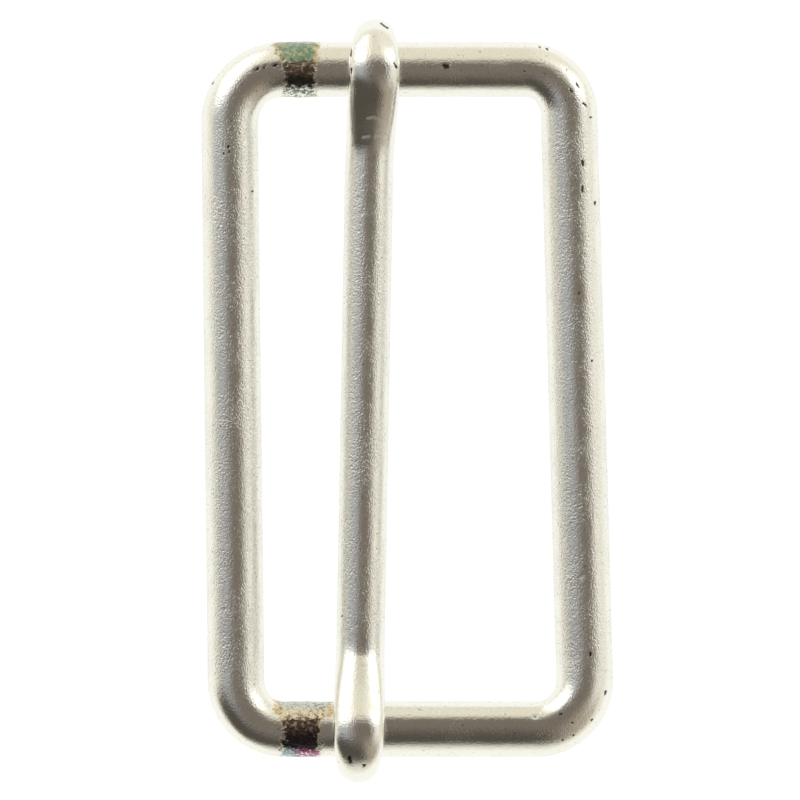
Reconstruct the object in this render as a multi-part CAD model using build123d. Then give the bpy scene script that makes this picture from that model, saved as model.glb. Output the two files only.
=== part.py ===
from build123d import *
import math
import os

# Slide buckle for a 40 mm strap: a welded wire frame with a loose bar across its opening.
# Each end of the bar is pressed to a D and curled round a short rail, so the bar slides along X.
# X runs across the buckle and Y along it, and Z points out of its front.
# The origin is the centre of the frame, in the middle plane of its wire.
# Lengths are in millimetres and angles in degrees.

# Frame, whose long rails both lean with their upper end towards -X
frame_wire = 4.0
opening_length = 42.0
opening_width = 20.0
short_bow_lean = 0.65
long_bow_lean = 1.57
upper_left_bend = 3.7
lower_left_bend = 3.4
upper_right_bend = 3.15
lower_right_bend = 3.4

# Butt welds that join the two bows, each on a short rail just past its left bend
weld_margin = 0.1
weld_length = 2.3
weld_upset = 0.05

# Bar, which leans with its upper end towards +X and hangs a little towards the lower rail.
# Near each end it bends up and climbs straight to the rail's front.
bar_wire = 3.4
bar_place = -2.79
bar_lean = 1.03
bar_drop = 0.1
upper_eye_offset = 0.25
ramp_climb = 29.0
ramp_bend = 4.0

# Eyes of the bar: the strap that curls round the rail, at its crest, outside the frame and at its tip
eye_clearance = 0.22
strap_back = 0.4
crest_width = 3.6
outside_width = 2.7
tip_width = 1.9
crest_height = 1.0
outside_height = 1.0
tip_height = 0.6
wrap_angle = 228.0
curl_sections = 5

# What follows from the sizes above
rail_place = (opening_length + frame_wire) / 2
side_place = (opening_width + frame_wire) / 2
strap_radius = frame_wire / 2 + eye_clearance + strap_back
climb_sine = math.sin(math.radians(ramp_climb))
climb_cosine = math.cos(math.radians(ramp_climb))
ramp_straight = (strap_radius * climb_cosine - ramp_bend * (1 - climb_cosine)) / climb_sine
ramp_length = (strap_radius + ramp_bend) * climb_sine + ramp_straight * climb_cosine
bar_reach = rail_place - ramp_length

# Leans of the long rails by side along X, and bends of the corners by side and by end along Y
leans = {-1: short_bow_lean, 1: long_bow_lean}
bends = {
    (-1, 1): upper_left_bend,
    (-1, -1): lower_left_bend,
    (1, 1): upper_right_bend,
    (1, -1): lower_right_bend,
}


def blend(first, last, share):
    """Value on an eased way from first to last."""
    return first + (last - first) * share**2 * (3 - 2 * share)


def corner(side, end):
    """Point where a long rail's centre line meets a short rail's."""
    y = end * rail_place
    return (side * side_place - y * math.tan(math.radians(leans[side])), y)


def straight_start(side, end):
    """Place along X where a short rail leaves its bend and runs straight."""
    half_turn = math.radians(90 - side * end * leans[side]) / 2
    return corner(side, end)[0] - side * bends[side, end] * math.tan(half_turn)


def weld_place(end):
    """Middle of a butt weld along X."""
    return straight_start(-1, end) + weld_margin + weld_length / 2


def bow(side):
    """Half of the frame, bent from one wire, from the upper weld round its long rail to the lower weld."""
    ends = [(weld_place(end) + side * weld_length / 2, end * rail_place) for end in (1, -1)]
    radii = [bends[side, 1], bends[side, -1]]
    route = FilletPolyline(ends[0], corner(side, 1), corner(side, -1), ends[1], radius=radii)
    start = Plane(origin=route @ 0, z_dir=route % 0)
    return sweep(start * Circle(frame_wire / 2), path=route)


def butt_weld(end):
    """Fused metal between the two bows, swollen a little by the pressure of the weld."""
    radius = frame_wire / 2
    left = (-weld_length / 2, radius)
    right = (weld_length / 2, radius)
    swell = ThreePointArc(left, (0, radius + weld_upset), right)
    sides = Polyline(right, (weld_length / 2, 0), (-weld_length / 2, 0), left)
    weld = revolve(make_face(swell + sides), Axis.X)
    return Pos(weld_place(end), end * rail_place, 0) * weld


def oval(width, front, back):
    """Section of the bar, with its own half height towards its front and towards its back."""
    quarters = [(front, 0), (front, 90), (back, 180), (back, 270)]
    arcs = [EllipticalCenterArc((0, 0), width / 2, height, start, arc_size=90) for height, start in quarters]
    return make_face(arcs)


def section(point, sideways, climb, width, front, back):
    """Oval laid square to the bar where the bar climbs at the given angle."""
    along = (0, math.cos(math.radians(climb)), math.sin(math.radians(climb)))
    place = Plane(origin=point, x_dir=(-1, 0, 0), z_dir=along)
    return Pos(sideways, 0, 0) * place * oval(width, front, back)


def bend_point(climb):
    """Point on the bend where the bar leaves the middle plane."""
    y = bar_reach + ramp_bend * math.sin(math.radians(climb))
    return (0, y, ramp_bend * (1 - math.cos(math.radians(climb))))


def curl_point(turn):
    """Point on the strap at an angle round the rail, counted from the rail's front."""
    y = rail_place + strap_radius * math.sin(math.radians(turn))
    return (0, y, strap_radius * math.cos(math.radians(turn)))


def ramp_section(point, climb, share, sideways):
    """Section on the climb, where the wire is pressed thinner."""
    width = blend(bar_wire, crest_width, share)
    front = blend(bar_wire / 2, crest_height, share)
    back = blend(bar_wire / 2, strap_back, share)
    return section(point, sideways * share, climb, width, front, back)


def curl_section(turn, sideways):
    """Section at an angle round the rail, where the strap narrows towards its tip."""
    if turn < 90:
        share = turn / 90
        width = blend(crest_width, outside_width, share)
        front = blend(crest_height, outside_height, share)
    else:
        share = (turn - 90) / (wrap_angle - 90)
        width = blend(outside_width, tip_width, share)
        front = blend(outside_height, tip_height, share)
    return section(curl_point(turn), sideways, -turn, width, front, strap_back)


def bar_end(sideways):
    """Upper end of the bar: the climb and the curl round the rail, down to the sheared tip."""
    bent, landed = bend_point(ramp_climb), curl_point(-ramp_climb)
    halfway = [(low + high) / 2 for low, high in zip(bent, landed)]
    bend = ThreePointArc(bend_point(0), bend_point(ramp_climb / 2), bent)
    curl = ThreePointArc(landed, curl_point((wrap_angle - ramp_climb) / 2), curl_point(wrap_angle))
    places = [(bend_point(ramp_climb * part), ramp_climb * part, part / 3) for part in (0, 0.5, 1)]
    places += [(halfway, ramp_climb, 2 / 3), (landed, ramp_climb, 1)]
    sections = [ramp_section(point, climb, share, sideways) for point, climb, share in places]
    turns = [wrap_angle * step / curl_sections for step in range(curl_sections + 1)]
    sections += [curl_section(turn, sideways) for turn in turns]
    return sweep(sections, path=Wire([bend, Line(bent, landed), curl]), multisection=True)


def slide_bar():
    """Bar with both its ends, leaning as it lies in the frame."""
    straight = extrude(Plane.XZ * Circle(bar_wire / 2), amount=bar_reach, both=True)
    lower = mirror(bar_end(0), about=Plane.XZ)
    bar = straight + bar_end(upper_eye_offset) + lower
    return Pos(bar_place, -bar_drop, 0) * Rot(0, 0, -bar_lean) * bar


def slide_range():
    """Travel of the bar each way before an eye meets a bend of the frame."""
    swing = rail_place * math.tan(math.radians(bar_lean))
    eyes = {1: bar_place + swing + upper_eye_offset, -1: bar_place - swing}
    half = crest_width / 2
    left = max(straight_start(-1, end) + half - eye for end, eye in eyes.items())
    right = min(straight_start(1, end) - half - eye for end, eye in eyes.items())
    return left, right


parts = {
    "frame_long_bow": bow(1),
    "frame_short_bow": bow(-1),
    "upper_butt_weld": butt_weld(1),
    "lower_butt_weld": butt_weld(-1),
    "slide_bar": slide_bar(),
}

os.makedirs("parts", exist_ok=True)
for name, shape in parts.items():
    export_step(shape, f"parts/{name}.step")

left, right = slide_range()
print(f"The bar slides from {left:.2f} to {right:.2f} mm")
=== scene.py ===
import bpy
import math
import numpy as np
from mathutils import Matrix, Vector, noise


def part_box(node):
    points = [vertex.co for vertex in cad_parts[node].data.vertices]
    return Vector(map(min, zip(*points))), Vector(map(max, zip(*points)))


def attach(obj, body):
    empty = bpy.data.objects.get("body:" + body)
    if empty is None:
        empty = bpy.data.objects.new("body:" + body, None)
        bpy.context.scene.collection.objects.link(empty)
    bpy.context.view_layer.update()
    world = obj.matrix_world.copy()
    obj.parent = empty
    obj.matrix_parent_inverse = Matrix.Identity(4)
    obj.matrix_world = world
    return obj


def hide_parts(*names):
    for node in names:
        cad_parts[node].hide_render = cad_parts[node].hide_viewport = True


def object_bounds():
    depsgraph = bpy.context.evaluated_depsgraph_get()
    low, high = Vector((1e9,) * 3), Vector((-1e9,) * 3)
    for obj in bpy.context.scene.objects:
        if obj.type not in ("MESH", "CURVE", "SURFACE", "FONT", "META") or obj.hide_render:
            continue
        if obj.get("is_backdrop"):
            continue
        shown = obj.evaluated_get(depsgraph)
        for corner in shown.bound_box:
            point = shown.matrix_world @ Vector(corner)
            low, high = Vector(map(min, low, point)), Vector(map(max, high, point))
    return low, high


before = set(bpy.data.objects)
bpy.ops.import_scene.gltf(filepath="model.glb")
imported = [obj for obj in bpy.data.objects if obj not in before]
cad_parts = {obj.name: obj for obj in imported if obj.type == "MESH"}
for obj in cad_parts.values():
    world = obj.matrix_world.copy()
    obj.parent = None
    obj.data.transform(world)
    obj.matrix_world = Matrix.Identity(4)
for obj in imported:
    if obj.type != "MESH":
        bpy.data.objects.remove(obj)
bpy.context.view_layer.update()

# Slide buckle of plated wire: two bows, two butt welds and a loose bar.
# X runs across the buckle and Y along it, and Z points out of its front.
# The values below are in millimetres and degrees, and meshes and shaders are in metres.
MM = 0.001

# Frame, with its leans by side along X, and its bends by side along X and by end along Y
long_low, long_high = [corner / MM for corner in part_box("frame_long_bow")]
wire_radius = (long_high.z - long_low.z) / 2
rail_place = long_high.y - wire_radius
side_place = 12.0
weld_nodes = {1: "upper_butt_weld", -1: "lower_butt_weld"}
weld_boxes = {end: [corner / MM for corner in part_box(node)] for end, node in weld_nodes.items()}
leans = {-1: 0.65, 1: 1.57}
bends = {(-1, 1): 3.7, (-1, -1): 3.4, (1, 1): 3.15, (1, -1): 3.4}

# How far the frame's wire is pressed out of round, as shares of its radius
right_rail_oval = 0.035
lower_rail_oval = 0.10
short_rail_squaring = 0.016

# Stretches along which these grow, from where they are nil to where they are full
right_rail_x = (8.0, 11.0)
right_rail_y = (21.0, 13.0)
lower_rail_y = (-18.0, -22.0)
past_weld_x = (-4.0, -2.0)
short_rail_y = (21.0, 22.5)

# Lumps of the frame's skin, which lies a little inside the solid's, and those of the welds
skin_depth = 0.014
skin_lumps = 0.008
skin_fineness_along = 0.7
skin_fineness_around = 1.3
weld_swell = 0.03
weld_lumps = 0.05
weld_fineness_along = 2.0
weld_fineness_around = 3.6
weld_grain = 0.6

# Bar, with the width and the front height of its pressed ends at three places
bar_radius = 1.7
bar_place = (-2.79, -0.1)
bar_lean = 1.03
upper_eye_offset = 0.25
ramp_climb = 29.0
ramp_bend = 4.0
strap_radius = 2.62
strap_back = 0.4
crest_size = (3.6, 1.0)
outside_size = (2.7, 1.0)
tip_size = (1.9, 0.6)
wrap_angle = 228.0

# Rounding of the bar's sheared tips, and its lumps as shares of its thickness
tip_rounding = 0.35
tip_shrink = 0.75
bar_lumps = 0.004
bar_fineness = 0.9
bar_fineness_along = 0.5

# Share of the bar's length that keeps its ends inside the solid's
bar_length_share = 0.9996

# What follows from the bar's sizes
full_climb = math.radians(ramp_climb)
ramp_rise = strap_radius * math.cos(full_climb) - ramp_bend * (1 - math.cos(full_climb))
ramp_straight = ramp_rise / math.sin(full_climb)
ramp_length = (strap_radius + ramp_bend) * math.sin(full_climb) + ramp_straight * math.cos(full_climb)
bar_reach = rail_place - ramp_length

# Meshes: their fineness, the least angle of a sharp edge, and how far towards Z a full mark faces
ring_points = 120
ring_gap = 0.12
sharp_angle = 60.0
mark_fade = 0.25

# Finish: depth of the grain and how it is stretched along the wire
relief = 0.039
grain_stretch = (1.15, 0.85, 1.15)

# Camera, and the table with its painted glow
view_width = 55.79
view_centre = (-0.342, -0.049)
camera_height = 500.0
near_clip = 10.0
sensor_width = 36.0
table_half = 1500.0
glow_white_radius = 40.0
glow_cream_radius = 58.0


# Meshes of wire

def lattice(rings):
    """Faces of a tube whose rings follow one another, closed at both ends."""
    count = len(rings[0])
    faces = []
    for row in range(len(rings) - 1):
        low, high = row * count, (row + 1) * count
        for col in range(count):
            after = (col + 1) % count
            faces.append((low + col, low + after, high + after, high + col))
    last = (len(rings) - 1) * count
    faces.append(tuple(range(count - 1, -1, -1)))
    faces.append(tuple(range(last, last + count)))
    return faces


def straight(start, end, along, closed=False):
    """Stations at even gaps along a straight stretch, with its end point where it is closed."""
    count = max(1, round((end - start).length / ring_gap))
    return [(start.lerp(end, step / count), along) for step in range(count + closed)]


def arc(start, along, radius, turn, side):
    """Stations round a bend that turns towards the frame's inside."""
    count = max(2, round(radius * turn / ring_gap))
    inward = Vector((along.y, -along.x)) * side
    centre = start + inward * radius
    stations = []
    for step in range(count):
        angle = turn * step / count
        out = -inward * math.cos(angle) + along * math.sin(angle)
        heading = along * math.cos(angle) + inward * math.sin(angle)
        stations.append((centre + out * radius, heading))
    return stations


def bow_route(side):
    """Points and directions along a bow's centre line, from its upper weld to its lower one."""
    slope = math.tan(math.radians(leans[side]))
    cuts = {end: weld_boxes[end][1 if side > 0 else 0].x for end in (1, -1)}
    corners = {end: side * side_place - end * rail_place * slope for end in (1, -1)}
    path = [
        Vector((cuts[1], rail_place)),
        Vector((corners[1], rail_place)),
        Vector((corners[-1], -rail_place)),
        Vector((cuts[-1], -rail_place)),
    ]
    stations = []
    start = path[0]
    for index, end in ((1, 1), (2, -1)):
        before, corner, after = path[index - 1:index + 2]
        along, away = (corner - before).normalized(), (after - corner).normalized()
        turn = along.angle(away)
        reach = bends[side, end] * math.tan(turn / 2)
        stations += straight(start, corner - along * reach, along)
        stations += arc(corner - along * reach, along, bends[side, end], turn, side)
        start = corner + away * reach
    return stations + straight(start, path[3], (path[3] - start).normalized(), closed=True)


def round_rings(stations, radius_at):
    """Rings of a round wire, with the radius a function of the angle round it and the place."""
    rings = []
    for place, along in stations:
        across = Vector((-along.y, along.x))
        ring = []
        for step in range(ring_points):
            angle = 2 * math.pi * step / ring_points
            radius = radius_at(angle, place)
            side = across * (math.cos(angle) * radius)
            ring.append((place.x + side.x, place.y + side.y, math.sin(angle) * radius))
        rings.append(ring)
    return rings


def make_mesh(node, rings, body, material, grain):
    """Object made of rings, with the strength of its grain, riding and replacing a node."""
    points = [Vector(point) * MM for ring in rings for point in ring]
    mesh = bpy.data.meshes.new(node)
    mesh.from_pydata(points, [], lattice(rings))
    mesh.polygons.foreach_set("use_smooth", [len(face.vertices) == 4 for face in mesh.polygons])
    mesh.set_sharp_from_angle(angle=math.radians(sharp_angle))
    strengths = mesh.attributes.new("grain", "FLOAT", "POINT")
    strengths.data.foreach_set("value", [grain(Vector(point)) for ring in rings for point in ring])
    mesh.materials.append(material)
    piece = bpy.data.objects.new(node, mesh)
    bpy.context.scene.collection.objects.link(piece)
    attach(piece, body)
    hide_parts(node)
    return piece


# Unevenness

def growth(value, nil, full):
    """Share from 0 to 1 that grows evenly between two values."""
    return min(1.0, max(0.0, (value - nil) / (full - nil)))


def out_of_round(place):
    """Share by which the wire is an oval, leaning outwards on the right rail and inwards on the lower."""
    on_right = growth(place.x, *right_rail_x) * growth(place.y, *right_rail_y)
    on_lower = growth(place.y, *lower_rail_y)
    past_weld = growth(place.x, *past_weld_x)
    return right_rail_oval * on_right * (1 - on_lower) - lower_rail_oval * on_lower * past_weld


def frame_radius(angle, place):
    """Wire radius with its slight flattening and the unevenness of its skin."""
    around = Vector((math.cos(angle), math.sin(angle), 0)) * skin_fineness_around
    lumps = noise.noise(Vector((place.x, place.y, 0)) * skin_fineness_along + around)
    squaring = short_rail_squaring * growth(abs(place.y), *short_rail_y)
    flattening = out_of_round(place) * math.sin(2 * angle) - squaring * math.cos(4 * angle)
    return wire_radius * (1 + flattening - squaring) - skin_depth + skin_lumps * lumps


def weld_radius(low, high):
    """Radius of a weld's swollen and slightly lumpy surface, which meets the wire at its ends."""
    middle, half = (low + high) / 2, (high - low) / 2

    def radius_at(angle, place):
        share = max(0.0, 1 - ((place.x - middle) / half) ** 2) ** 2
        y, z = math.cos(angle) * weld_fineness_around, math.sin(angle) * weld_fineness_around
        lumps = noise.noise(Vector((place.x * weld_fineness_along, y, z + place.y)))
        return frame_radius(angle, place) + share * (weld_swell + weld_lumps * lumps)

    return radius_at


def patchy_grain(point, fade, fineness, least, more, uneven):
    """Strength of the grain, which fades out along a stretch and varies in patches."""
    along = 1 - growth(abs(point.y), *fade)
    patch = 0.5 + 0.5 * noise.noise(point * fineness)
    return least + more * along + uneven * (patch - 0.5)


def frame_grain(point):
    """Coarser skin on the straight long rails than on the bends and the short rails."""
    return patchy_grain(point, fade=(17.5, 21.5), fineness=0.35, least=0.42, more=0.5, uneven=0.3)


def bar_grain(point):
    """Coarse skin along the bar and a worn smooth one on its ends."""
    return patchy_grain(point, fade=(14.5, 18.5), fineness=0.4, least=0.3, more=0.6, uneven=0.25)


# Marks

def stroke_cover(points, start, end, width):
    """How much each point is covered by a soft round-ended stroke."""
    start, end = np.array(start), np.array(end)
    span = end - start
    share = np.clip(((points - start) @ span) / max(span @ span, 1e-9), 0, 1)
    gap = np.linalg.norm(points - start - share[:, None] * span, axis=1)
    return np.clip(1 - (gap / width) ** 2, 0, 1) ** 2


def press_marks(piece, dents=(), scuffs=()):
    """Presses strokes into the front, and notes which points are dented and which are scuffed."""
    mesh = piece.data
    points, normals = np.empty(len(mesh.vertices) * 3), np.empty(len(mesh.vertices) * 3)
    mesh.vertices.foreach_get("co", points)
    mesh.vertices.foreach_get("normal", normals)
    points, normals = points.reshape(-1, 3) / MM, normals.reshape(-1, 3)
    facing = np.clip(normals[:, 2] / mark_fade, 0, 1)
    for name, strokes in (("mark", dents), ("scuff", scuffs)):
        pressed = np.zeros(len(points))
        for start, end, width, depth in strokes:
            cover = stroke_cover(points[:, :2], start, end, width) * facing
            points -= normals * (cover * depth)[:, None]
            pressed = np.maximum(pressed, cover)
        mesh.attributes.new(name, "FLOAT", "POINT").data.foreach_set("value", pressed)
    mesh.vertices.foreach_set("co", (points * MM).ravel())
    mesh.update()


def pit(x, y, width, depth):
    """Round mark, which is a stroke that stays on one spot."""
    return (x, y), (x, y), width, depth


# Dark nicks and pits on the front of each bow, by side: start, end, half width and depth
frame_dents = {
    1: [
        ((2.75, 23.16), (2.95, 23.12), 0.26, 0.04),
        pit(8.33, 22.81, 0.13, 0.02),
        pit(9.42, 24.52, 0.13, 0.02),
        ((9.88, 24.40), (9.92, 24.36), 0.13, 0.02),
        pit(11.54, 21.40, 0.19, 0.03),
        ((11.88, 22.02), (12.10, 21.70), 0.11, 0.02),
        ((12.38, 20.60), (12.58, 20.42), 0.13, 0.02),
        pit(12.95, 19.60, 0.13, 0.02),
        ((12.33, 16.55), (12.38, 16.30), 0.17, 0.02),
        ((12.32, 14.75), (12.34, 14.40), 0.14, 0.03),
        ((13.24, 13.75), (13.20, 13.60), 0.13, 0.02),
        pit(12.14, 7.41, 0.13, 0.02),
        pit(12.98, 2.67, 0.13, 0.02),
        ((12.88, -17.60), (12.87, -17.80), 0.12, 0.02),
        ((13.98, -20.35), (13.92, -20.55), 0.14, 0.02),
        pit(12.99, -22.30, 0.13, 0.02),
        pit(11.75, -23.32, 0.13, 0.02),
        pit(10.95, -23.70, 0.13, 0.02),
        pit(11.62, -22.48, 0.13, 0.02),
        pit(10.86, -21.85, 0.13, 0.02),
        pit(9.04, -22.05, 0.12, 0.03),
    ],
    -1: [
        ((-10.35, 22.88), (-10.20, 23.02), 0.15, 0.03),
        ((-9.80, 23.02), (-9.68, 23.18), 0.15, 0.03),
        ((-9.15, 23.15), (-8.95, 23.28), 0.14, 0.03),
        ((-8.75, 23.26), (-8.70, 23.26), 0.11, 0.02),
        ((-13.25, 22.55), (-13.08, 22.72), 0.11, 0.02),
        ((-13.42, 21.95), (-13.36, 22.10), 0.11, 0.02),
        pit(-12.30, 17.53, 0.14, 0.02),
        pit(-12.58, 17.07, 0.12, 0.02),
        pit(-12.20, 17.25, 0.11, 0.02),
        pit(-10.62, 14.50, 0.11, 0.02),
    ],
}

# A bruise, a fine scratch and the hollow round a pit, which only dull the plating
frame_scuffs = {
    1: [
        ((12.14, -12.42), (12.43, -12.33), 0.13, 0.03),
        ((13.30, -18.84), (14.15, -18.84), 0.10, 0.012),
        ((8.92, -22.05), (9.16, -22.05), 0.24, 0.02),
    ],
    -1: [],
}

# Dark nicks of the bar, nearly all on its curled ends
bar_dents = [
    ((-1.66, 26.15), (-1.20, 25.78), 0.12, 0.03),
    ((-0.72, 23.28), (-0.55, 22.98), 0.12, 0.03),
    pit(-1.03, 21.99, 0.12, 0.02),
    ((-3.73, 24.25), (-3.75, 23.78), 0.10, 0.02),
    ((-3.70, 22.95), (-3.72, 22.65), 0.11, 0.02),
    pit(-4.35, -15.06, 0.13, 0.02),
    ((-3.85, -24.80), (-3.80, -25.10), 0.22, 0.02),
    ((-2.85, -25.35), (-2.80, -25.38), 0.18, 0.02),
]

# Creases and tool marks of the bar, most of them on its upper climb
bar_scuffs = [
    ((-2.62, 19.50), (-2.15, 19.58), 0.13, 0.012),
    ((-2.15, 19.58), (-1.35, 19.26), 0.12, 0.010),
    ((-2.92, 18.22), (-2.45, 18.28), 0.15, 0.022),
    ((-2.05, 18.25), (-1.28, 18.34), 0.14, 0.018),
    ((-3.10, 12.88), (-2.85, 12.98), 0.13, 0.025),
    ((-3.05, -18.52), (-2.70, -18.52), 0.10, 0.010),
]


# Frame

def make_bow(node, side, material):
    """One bow of the frame, with the marks on it."""
    rings = round_rings(bow_route(side), frame_radius)
    bow = make_mesh(node, rings, "frame", material, frame_grain)
    press_marks(bow, frame_dents[side], frame_scuffs[side])


def make_weld(end, material):
    """Butt weld between the bows."""
    low, high = [corner.x for corner in weld_boxes[end]]
    y = end * rail_place
    stations = straight(Vector((low, y)), Vector((high, y)), Vector((1, 0)), closed=True)
    rings = round_rings(stations, weld_radius(low, high))
    weld = make_mesh(weld_nodes[end], rings, "frame", material, lambda point: weld_grain)
    press_marks(weld)


# Bar

# A station of the bar is a place along Y and Z, a climb in radians, a width, a height towards
# the front and one towards the back, and a share of the upper end's offset.

def eased(first, last, share):
    """Value on an eased way from first to last."""
    return first + (last - first) * share**2 * (3 - 2 * share)


def eased_pair(first, last, share):
    """Pair of values on an eased way."""
    return [eased(low, high, share) for low, high in zip(first, last)]


def steps(first, last, length, closed=False):
    """Values from first to last at even gaps along a stretch of the given length."""
    count = max(2, round(length / ring_gap))
    return [first + (last - first) * step / count for step in range(count + closed)]


def ramp_station(place, climb, share):
    """Station on the way up to the rail's front, with its share of the pressing."""
    width, front = eased_pair((2 * bar_radius, bar_radius), crest_size, share)
    return place, climb, width, front, eased(bar_radius, strap_back, share), share


def bend_station(climb):
    """Station on the bend where the bar leaves the middle plane, with the first third of the pressing."""
    place = (bar_reach + ramp_bend * math.sin(climb), ramp_bend * (1 - math.cos(climb)))
    return ramp_station(place, climb, climb / full_climb / 3)


def climb_station(distance):
    """Station on the straight climb, with the rest of the pressing."""
    y = bar_reach + ramp_bend * math.sin(full_climb) + distance * math.cos(full_climb)
    z = ramp_bend * (1 - math.cos(full_climb)) + distance * math.sin(full_climb)
    return ramp_station((y, z), full_climb, 1 / 3 + distance / ramp_straight * 2 / 3)


def curl_station(turn):
    """Station at an angle round the rail, in radians from the rail's front."""
    degrees = math.degrees(turn)
    if degrees < 0:
        width, front = crest_size
    elif degrees < 90:
        width, front = eased_pair(crest_size, outside_size, degrees / 90)
    else:
        width, front = eased_pair(outside_size, tip_size, (degrees - 90) / (wrap_angle - 90))
    y = rail_place + strap_radius * math.sin(turn)
    z = strap_radius * math.cos(turn)
    return (y, z), -turn, width, front, strap_back, 1.0


def rounded_tip(stations):
    """Shrinks the last sections a little, so that the sheared tip has a soft edge."""
    tip = Vector(stations[-1][0])
    result = []
    for place, climb, width, front, back, shift in stations:
        into = max(0.0, 1 - (Vector(place) - tip).length / tip_rounding)
        scale = math.sqrt(1 - (tip_shrink * into) ** 2)
        result.append((place, climb, width * scale, front * scale, back * scale, shift))
    return result


def end_stations():
    """Stations of a bar end, from the middle of the bar to the rounded tip."""
    last = math.radians(wrap_angle)
    round_section = (2 * bar_radius, bar_radius, bar_radius, 0.0)
    stations = [((y, 0.0), 0.0, *round_section) for y in steps(0.0, bar_reach, bar_reach)]
    stations += [bend_station(climb) for climb in steps(0.0, full_climb, full_climb * ramp_bend)]
    stations += [climb_station(distance) for distance in steps(0.0, ramp_straight, ramp_straight)]
    turns = steps(-full_climb, last, (last + full_climb) * strap_radius, closed=True)
    stations += [curl_station(turn) for turn in turns]
    return rounded_tip(stations)


def oval_ring(end, station, sideways):
    """Ring round one section of the bar, on the upper or the lower end."""
    (y, z), climb, width, front, back, shift = station
    up_y, up_z = -math.sin(climb), math.cos(climb)
    ring = []
    for step in range(ring_points):
        angle = 2 * math.pi * step / ring_points
        x = -math.cos(angle) * width / 2
        height = math.sin(angle) * (front if math.sin(angle) > 0 else back)
        ring.append((x + sideways * shift, end * (y + up_y * height), z + up_z * height))
    return ring


def lay_bar(point, lean):
    """Point of the bar, roughened a little, at its place in the frame."""
    x, y, z = point
    place = Vector((x, y * bar_fineness_along, z)) * bar_fineness
    lump = 1 - bar_lumps + bar_lumps * noise.noise(place)
    x, y, z = x * lump, y * bar_length_share, z * lump
    return (
        bar_place[0] + x * math.cos(lean) + y * math.sin(lean),
        bar_place[1] - x * math.sin(lean) + y * math.cos(lean),
        z,
    )


def bar_rings():
    """Rings of the whole bar, from its lower tip to its upper one, placed in the frame."""
    stations = end_stations()
    lower = [oval_ring(-1, station, 0.0) for station in reversed(stations)]
    upper = [oval_ring(1, station, upper_eye_offset) for station in stations[1:]]
    lean = math.radians(bar_lean)
    return [[lay_bar(point, lean) for point in ring] for ring in lower + upper]


def make_bar(material):
    """Loose bar with its nicks, creases and tool marks."""
    bar = make_mesh("slide_bar", bar_rings(), "bar", material, bar_grain)
    press_marks(bar, bar_dents, bar_scuffs)


# Materials, whose noises have their fineness per metre

class Nodes:
    """Short way to add and link shader nodes."""

    def __init__(self, tree):
        self.tree = tree
        tree.nodes.clear()

    def add(self, kind, inputs=None, **settings):
        """Adds a node, and links each input or sets its value."""
        node = self.tree.nodes.new(kind)
        for key, value in settings.items():
            setattr(node, key, value)
        for key, value in (inputs or {}).items():
            socket = node.inputs[key]
            if hasattr(value, "is_output"):
                self.tree.links.new(value, socket)
            else:
                socket.default_value = value
        return node

    def place(self, kind="Object"):
        """Place on the object, or the direction in the world where kind is Generated."""
        return self.add("ShaderNodeTexCoord").outputs[kind]

    def parts(self, vector):
        """The three parts of a vector."""
        return self.add("ShaderNodeSeparateXYZ", {0: vector}).outputs

    def attribute(self, name):
        """Value of a mesh attribute."""
        return self.add("ShaderNodeAttribute", attribute_name=name).outputs["Fac"]

    def math(self, operation, first, second=0.0, third=0.0):
        """Result of an operation on up to three values."""
        inputs = {0: first, 1: second, 2: third}
        return self.add("ShaderNodeMath", inputs, operation=operation).outputs[0]

    def product(self, *values):
        """Product of several values."""
        result = values[0]
        for value in values[1:]:
            result = self.math("MULTIPLY", result, value)
        return result

    def mix(self, share, first, second):
        """Colour between two others, each a socket or three numbers."""
        pair = [tone if hasattr(tone, "is_output") else (*tone, 1.0) for tone in (first, second)]
        inputs = {0: share, 6: pair[0], 7: pair[1]}
        return self.add("ShaderNodeMix", inputs, data_type="RGBA").outputs[2]

    def ramp(self, value, low, high, to_low=0.0, to_high=1.0):
        """Value eased from one range into another."""
        inputs = {0: value, 1: low, 2: high, 3: to_low, 4: to_high}
        return self.add("ShaderNodeMapRange", inputs, interpolation_type="SMOOTHSTEP").outputs[0]

    def noise(self, vector, scale, detail, roughness):
        """Noise between 0 and 1."""
        inputs = {"Vector": vector, "Scale": scale, "Detail": detail, "Roughness": roughness}
        return self.add("ShaderNodeTexNoise", inputs).outputs["Fac"]


def new_material(name):
    """Empty material and its nodes."""
    material = bpy.data.materials.new(name)
    material.use_nodes = True
    return material, Nodes(material.node_tree)


def plating_colour(nodes, place, grain, fine, medium, patches):
    """Tinted patches, dull specks in the grain and near-black colour in the marks."""
    clean = (0.89, 0.88, 0.82)
    pink = (0.905, 0.868, 0.818)
    blue = (0.875, 0.88, 0.848)
    dull = (0.81, 0.80, 0.75)
    mark_black = (0.09, 0.08, 0.075)
    tint = nodes.noise(place, 1500.0, 4.0, 0.65)
    colour = nodes.mix(nodes.ramp(tint, 0.52, 0.66), clean, pink)
    colour = nodes.mix(nodes.ramp(tint, 0.48, 0.34), colour, blue)
    specks = nodes.product(nodes.ramp(fine, 0.66, 0.32), nodes.ramp(patches, 0.30, 0.65, 0.5, 1.0), grain)
    colour = nodes.mix(specks, colour, dull)
    ragged = nodes.math("SUBTRACT", medium, 0.5)
    mark = nodes.math("MULTIPLY_ADD", ragged, 1.6, nodes.attribute("mark"))
    return nodes.mix(nodes.ramp(mark, 0.22, 0.62), colour, mark_black)


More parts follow.
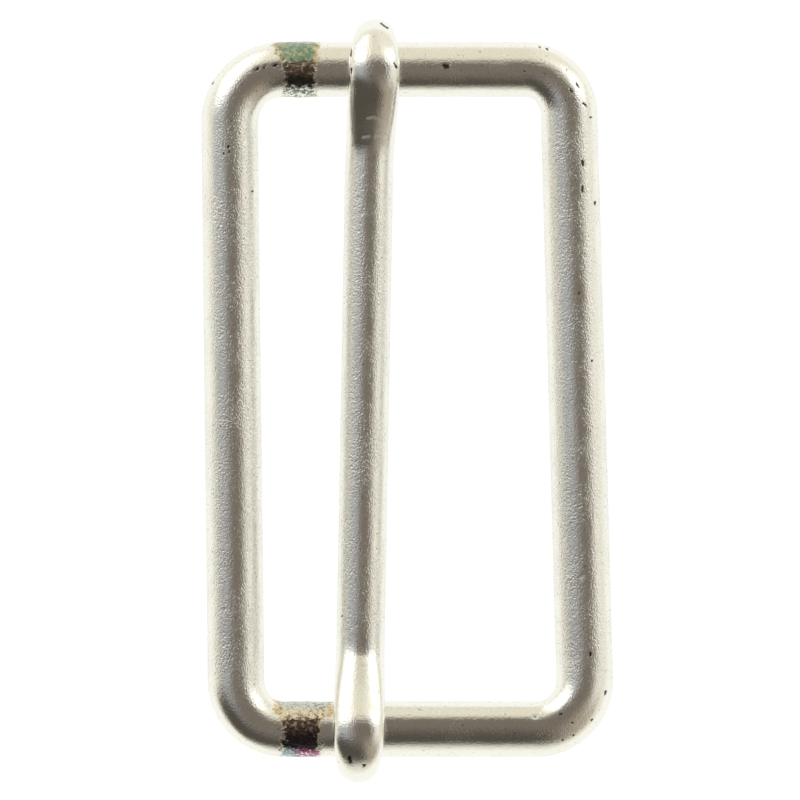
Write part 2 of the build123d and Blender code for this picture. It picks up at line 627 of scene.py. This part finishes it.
def plating(nodes):
    """Colour, roughness, height and depth of satin plating over a finely grained wire."""
    stretched = {0: nodes.place(), 1: grain_stretch}
    place = nodes.add("ShaderNodeVectorMath", stretched, operation="MULTIPLY").outputs[0]
    grain = nodes.attribute("grain")
    fine = nodes.noise(place, 8200.0, 2.0, 0.6)
    medium = nodes.noise(place, 4600.0, 2.0, 0.45)
    patches = nodes.noise(place, 420.0, 3.0, 0.6)
    colour = plating_colour(nodes, place, grain, fine, medium, patches)

    pits = nodes.ramp(nodes.noise(place, 6400.0, 1.0, 0.5), 0.50, 0.26)
    height = nodes.math("MULTIPLY_ADD", medium, 0.3, fine)
    height = nodes.math("MULTIPLY_ADD", pits, -0.3, height)
    depth = nodes.product(nodes.ramp(patches, 0.30, 0.65, 0.45, 1.0), grain)
    depth = nodes.math("ADD", depth, 0.08)
    roughness = nodes.math("MULTIPLY_ADD", medium, 0.12, 0.07)
    roughness = nodes.math("MULTIPLY_ADD", grain, 0.06, roughness)
    roughness = nodes.math("MULTIPLY_ADD", nodes.attribute("scuff"), 0.5, roughness)
    return colour, roughness, height, depth


def finish_metal(nodes, colour, roughness, height, depth):
    """Bare metal surface with the given colour, roughness and fine relief."""
    inputs = {"Strength": depth, "Distance": relief * MM, "Height": height}
    bump = nodes.add("ShaderNodeBump", inputs)
    shader = nodes.add("ShaderNodeBsdfPrincipled", {
        "Base Color": colour,
        "Metallic": 1.0,
        "Roughness": roughness,
        "Normal": bump.outputs[0],
    })
    nodes.add("ShaderNodeOutputMaterial", {"Surface": shader.outputs[0]})


def make_plated_wire():
    """Satin plated wire of the bar."""
    material, nodes = new_material("plated_wire")
    finish_metal(nodes, *plating(nodes))
    return material


# The scale of a weld is laid out along the rail in millimetres from the weld's middle, and
# across the rail in wire radii from its centre line.

def upper_scale(nodes, across, along, mottle):
    """Colour and cover of the scale on the upper weld, and the distance inside its edge."""
    black = (0.085, 0.085, 0.075)
    dark_green = (0.17, 0.25, 0.18)
    green = nodes.mix(nodes.ramp(mottle, 0.46, 0.62), (0.20, 0.29, 0.22), (0.43, 0.44, 0.28))
    brown = nodes.mix(nodes.ramp(mottle, 0.50, 0.62), (0.22, 0.16, 0.11), (0.58, 0.51, 0.45))
    colour = nodes.mix(nodes.ramp(across, 0.34, 0.10), green, brown)
    colour = nodes.mix(nodes.ramp(across, -0.22, -0.38), colour, black)
    colour = nodes.mix(nodes.ramp(across, -0.58, -0.74), colour, dark_green)
    thin = nodes.product(nodes.ramp(across, -0.56, -0.70), nodes.ramp(mottle, 0.55, 0.42))
    left = nodes.math("SUBTRACT", along, nodes.ramp(across, 0.0, 0.95, -1.2, -1.8))
    right = nodes.math("SUBTRACT", 1.15, along)
    return colour, nodes.math("SUBTRACT", 1.0, thin), nodes.math("MINIMUM", left, right)


def lower_scale(nodes, across, along, mottle):
    """The same on the lower weld: straw, maroon, black, and teal to violet at the bottom, with a painted
    highlight of pale pink patches over the teal and violet.
    """
    grey_green = (0.22, 0.28, 0.23)
    black = (0.06, 0.045, 0.055)
    teal = (0.25, 0.42, 0.44)
    violet = (0.30, 0.075, 0.19)
    # Painted highlight: pale pink glint laid in patches over the fringe
    pink = (0.86, 0.72, 0.74)
    straw = nodes.mix(nodes.ramp(mottle, 0.54, 0.62), (0.64, 0.53, 0.34), (0.38, 0.24, 0.12))
    straw = nodes.mix(nodes.ramp(across, 0.72, 0.84), straw, grey_green)
    maroon = nodes.mix(nodes.ramp(mottle, 0.50, 0.64), (0.10, 0.065, 0.05), (0.36, 0.27, 0.22))
    colour = nodes.mix(nodes.ramp(across, 0.50, 0.38), straw, maroon)
    colour = nodes.mix(nodes.ramp(across, 0.02, -0.22), colour, black)
    fringe = nodes.mix(nodes.ramp(along, -0.9, -0.1), teal, violet)
    # Painted highlight: the pale pink glint over the fringe
    fringe = nodes.mix(nodes.ramp(mottle, 0.52, 0.62), fringe, pink)
    colour = nodes.mix(nodes.ramp(across, -0.60, -0.74), colour, fringe)
    thin = nodes.product(nodes.ramp(across, 0.42, 0.52), nodes.ramp(mottle, 0.58, 0.50, 0.0, 0.45))
    wider = nodes.ramp(across, 0.40, 0.56)
    left = nodes.math("MULTIPLY_ADD", wider, 0.35, nodes.math("ADD", along, 1.45))
    right = nodes.math("MULTIPLY_ADD", wider, 0.8, nodes.math("SUBTRACT", 1.28, along))
    return colour, nodes.math("SUBTRACT", 1.0, thin), nodes.math("MINIMUM", left, right)


def make_frame_wire():
    """Plated wire of the frame, with the scale and the heat colours of its two welds."""
    gold = (0.64, 0.44, 0.20)
    material, nodes = new_material("frame_wire")
    colour, roughness, height, depth = plating(nodes)
    place = nodes.place()
    x, y = nodes.parts(place)[:2]
    ragged = nodes.math("SUBTRACT", nodes.noise(place, 2400.0, 4.0, 0.65), 0.5)
    mottle = nodes.noise(place, 3600.0, 3.0, 0.6)
    for end, scale in ((1, upper_scale), (-1, lower_scale)):
        middle = (weld_boxes[end][0].x + weld_boxes[end][1].x) / 2 * MM
        along = nodes.math("DIVIDE", nodes.math("SUBTRACT", x, middle), MM)
        along = nodes.math("MULTIPLY_ADD", ragged, 1.5, along)
        across = nodes.math("SUBTRACT", y, end * rail_place * MM)
        across = nodes.math("DIVIDE", across, wire_radius * MM)
        near_rail = nodes.ramp(nodes.math("ABSOLUTE", across), 1.2, 1.1)
        across = nodes.math("MULTIPLY_ADD", ragged, 0.7, across)
        tone, strength, inside = scale(nodes, across, along, mottle)
        edge = nodes.product(nodes.ramp(inside, -0.22, 0.05), nodes.ramp(inside, 0.45, 0.15))
        rim = nodes.product(edge, near_rail, nodes.ramp(across, -0.1, 0.35, 0.25, 1.0), 0.85)
        fading = nodes.ramp(nodes.math("ABSOLUTE", across), 1.06, 0.80, 0.5, 1.0)
        cover = nodes.product(nodes.ramp(inside, -0.1, 0.3), near_rail, fading, strength)
        colour = nodes.mix(rim, colour, gold)
        colour = nodes.mix(cover, colour, tone)
        roughness = nodes.math("MULTIPLY_ADD", cover, 0.1, roughness)
        height = nodes.math("MULTIPLY_ADD", nodes.product(cover, mottle), 4.0, height)
    finish_metal(nodes, colour, roughness, height, depth)
    return material


# Studio

def make_floor():
    """Table under the buckle that glows with painted light, white in the middle and falling off to cream
    outside the picture.
    """
    low = min(corner.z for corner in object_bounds())
    half = table_half * MM
    mesh = bpy.data.meshes.new("floor")
    corners = [(-half, -half, low), (half, -half, low), (half, half, low), (-half, half, low)]
    mesh.from_pydata(corners, [], [(0, 1, 2, 3)])
    floor = bpy.data.objects.new("floor", mesh)
    bpy.context.scene.collection.objects.link(floor)
    material, nodes = new_material("glowing_floor")
    distance = nodes.add("ShaderNodeVectorMath", {0: nodes.place()}, operation="LENGTH").outputs["Value"]
    fall_off = nodes.ramp(distance, glow_white_radius * MM, glow_cream_radius * MM)
    # Painted light: the table glows white near the buckle and cream further out
    light = nodes.mix(fall_off, (1.0, 1.0, 0.96), (0.80, 0.77, 0.65))
    shader = nodes.add("ShaderNodeBsdfPrincipled", {
        "Base Color": (0.02, 0.02, 0.02, 1.0),
        "Roughness": 0.9,
        "Emission Color": light,
        "Emission Strength": 1.03,
    })
    nodes.add("ShaderNodeOutputMaterial", {"Surface": shader.outputs[0]})
    mesh.materials.append(material)
    floor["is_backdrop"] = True


# The lights are placed by angles in degrees. Right and far lean from overhead towards +X and +Y,
# and aside turns round the horizon from the near side, -Y, towards +X.

def lean_from_overhead(nodes, part, other, up):
    """Angle by which a direction leans from overhead along one axis, held steady near the horizon."""
    hold = 0.35
    steadied = nodes.math("MULTIPLY_ADD", nodes.product(other, other), hold, nodes.product(up, up))
    return nodes.math("DEGREES", nodes.math("ARCTAN2", part, nodes.math("SQRT", steadied)))


def overhead_light(nodes, right):
    """Gap in the tent overhead: grey at its left, dark in its middle and cream at its right."""
    grey = (0.46, 0.47, 0.49)
    dark = (0.19, 0.163, 0.135)
    cream = (0.94, 0.91, 0.83)
    dull_cream = (0.76, 0.75, 0.66)
    light = nodes.mix(nodes.ramp(right, -36.0, -6.0), grey, dark)
    light = nodes.mix(nodes.ramp(right, 33.0, 56.0), light, cream)
    return nodes.mix(nodes.ramp(right, 70.0, 86.0), light, dull_cream)


def near_light(nodes, aside, up):
    """Dark near side, a little lighter low at its left and much lighter at its right."""
    dark = (0.13, 0.12, 0.107)
    darkest = (0.088, 0.078, 0.066)
    low_grey = (0.27, 0.25, 0.215)
    brown = (0.43, 0.375, 0.30)
    sand = (0.62, 0.58, 0.50)
    low_left = nodes.product(nodes.ramp(up, 0.25, 0.0), nodes.ramp(aside, -38.0, -54.0))
    light = nodes.mix(nodes.ramp(aside, -80.0, -58.0), dark, darkest)
    light = nodes.mix(low_left, light, low_grey)
    light = nodes.mix(nodes.ramp(aside, 8.0, 40.0), light, brown)
    return nodes.mix(nodes.ramp(aside, 50.0, 75.0), light, sand)


def far_light(nodes, right):
    """Far side of the tent, cream and lighter towards its right."""
    cream = (0.84, 0.80, 0.66)
    light_cream = (0.94, 0.92, 0.79)
    white = (1.12, 1.10, 1.0)
    light = nodes.mix(nodes.ramp(right, 8.0, 26.0), cream, light_cream)
    return nodes.mix(nodes.ramp(right, 56.0, 80.0), light, white)


def add_soft_boxes(nodes, light, right, far):
    """Adds the two soft boxes on the far side."""
    box_light = (1.5, 1.5, 1.45)
    left_box = nodes.product(nodes.ramp(right, -14.0, -30.0), nodes.ramp(right, -98.0, -86.0))
    left_box = nodes.product(left_box, nodes.ramp(far, 98.0, 86.0))
    right_box = nodes.product(nodes.ramp(right, 24.0, 46.0), nodes.ramp(right, 78.0, 62.0))
    right_box = nodes.product(right_box, nodes.ramp(far, 60.0, 44.0))
    boxes = nodes.product(nodes.math("MAXIMUM", left_box, right_box), nodes.ramp(far, 12.0, 24.0))
    return nodes.mix(boxes, light, box_light)


def add_low_lights(nodes, light, right, far, aside, up):
    """Adds the wall at the left, the bright near edge and the bright low corner at the near right."""
    wall_cream = (0.83, 0.80, 0.70)
    wall_white = (1.10, 1.09, 0.97)
    near_edge = (1.0, 1.01, 0.88)
    corner_white = (1.0, 0.98, 0.90)
    wall = nodes.product(nodes.ramp(right, -62.0, -76.0), nodes.ramp(far, -28.0, -8.0))
    wall_light = nodes.mix(nodes.ramp(right, -80.0, -89.0), wall_cream, wall_white)
    light = nodes.mix(wall, light, wall_light)
    light = nodes.mix(nodes.ramp(far, -62.0, -96.0), light, near_edge)
    low_right = nodes.product(nodes.ramp(up, 0.22, 0.02), nodes.ramp(aside, 40.0, 65.0))
    low_right = nodes.product(low_right, nodes.ramp(aside, 90.0, 78.0))
    return nodes.mix(low_right, light, corner_white)


def make_studio():
    """White tent with soft boxes at its far side, open and dark overhead and towards the near side."""
    world = bpy.data.worlds.new("studio")
    bpy.context.scene.world = world
    world.use_nodes = True
    nodes = Nodes(world.node_tree)
    x, y, up = nodes.parts(nodes.place("Generated"))
    right = lean_from_overhead(nodes, x, y, up)
    far = lean_from_overhead(nodes, y, x, up)
    aside = nodes.math("DEGREES", nodes.math("ARCTAN2", x, nodes.product(y, -1.0)))
    steeper = nodes.math("MAXIMUM", nodes.math("MULTIPLY_ADD", right, -0.03, 0.7), 1.0)
    towards_near = nodes.ramp(nodes.product(far, steeper), -4.0, -50.0)
    light = nodes.mix(towards_near, overhead_light(nodes, right), near_light(nodes, aside, up))
    light = nodes.mix(nodes.ramp(far, 18.0, 38.0), light, far_light(nodes, right))
    light = add_soft_boxes(nodes, light, right, far)
    light = add_low_lights(nodes, light, right, far, aside, up)
    background = nodes.add("ShaderNodeBackground", {"Color": light, "Strength": 1.0})
    nodes.add("ShaderNodeOutputWorld", {"Surface": background.outputs[0]})


def make_camera():
    """Camera straight above the buckle, framed as in the photograph."""
    data = bpy.data.cameras.new("camera")
    data.sensor_width = sensor_width
    data.lens = sensor_width * camera_height / view_width
    data.clip_start = near_clip * MM
    camera = bpy.data.objects.new("camera", data)
    camera.location = [value * MM for value in (*view_centre, camera_height)]
    bpy.context.scene.collection.objects.link(camera)
    bpy.context.scene.camera = camera


plated_wire = make_plated_wire()
frame_wire = make_frame_wire()
make_bow("frame_long_bow", 1, frame_wire)
make_bow("frame_short_bow", -1, frame_wire)
make_weld(1, frame_wire)
make_weld(-1, frame_wire)
make_bar(plated_wire)
make_floor()
make_studio()
make_camera()
bpy.context.scene.view_settings.view_transform = "Standard"
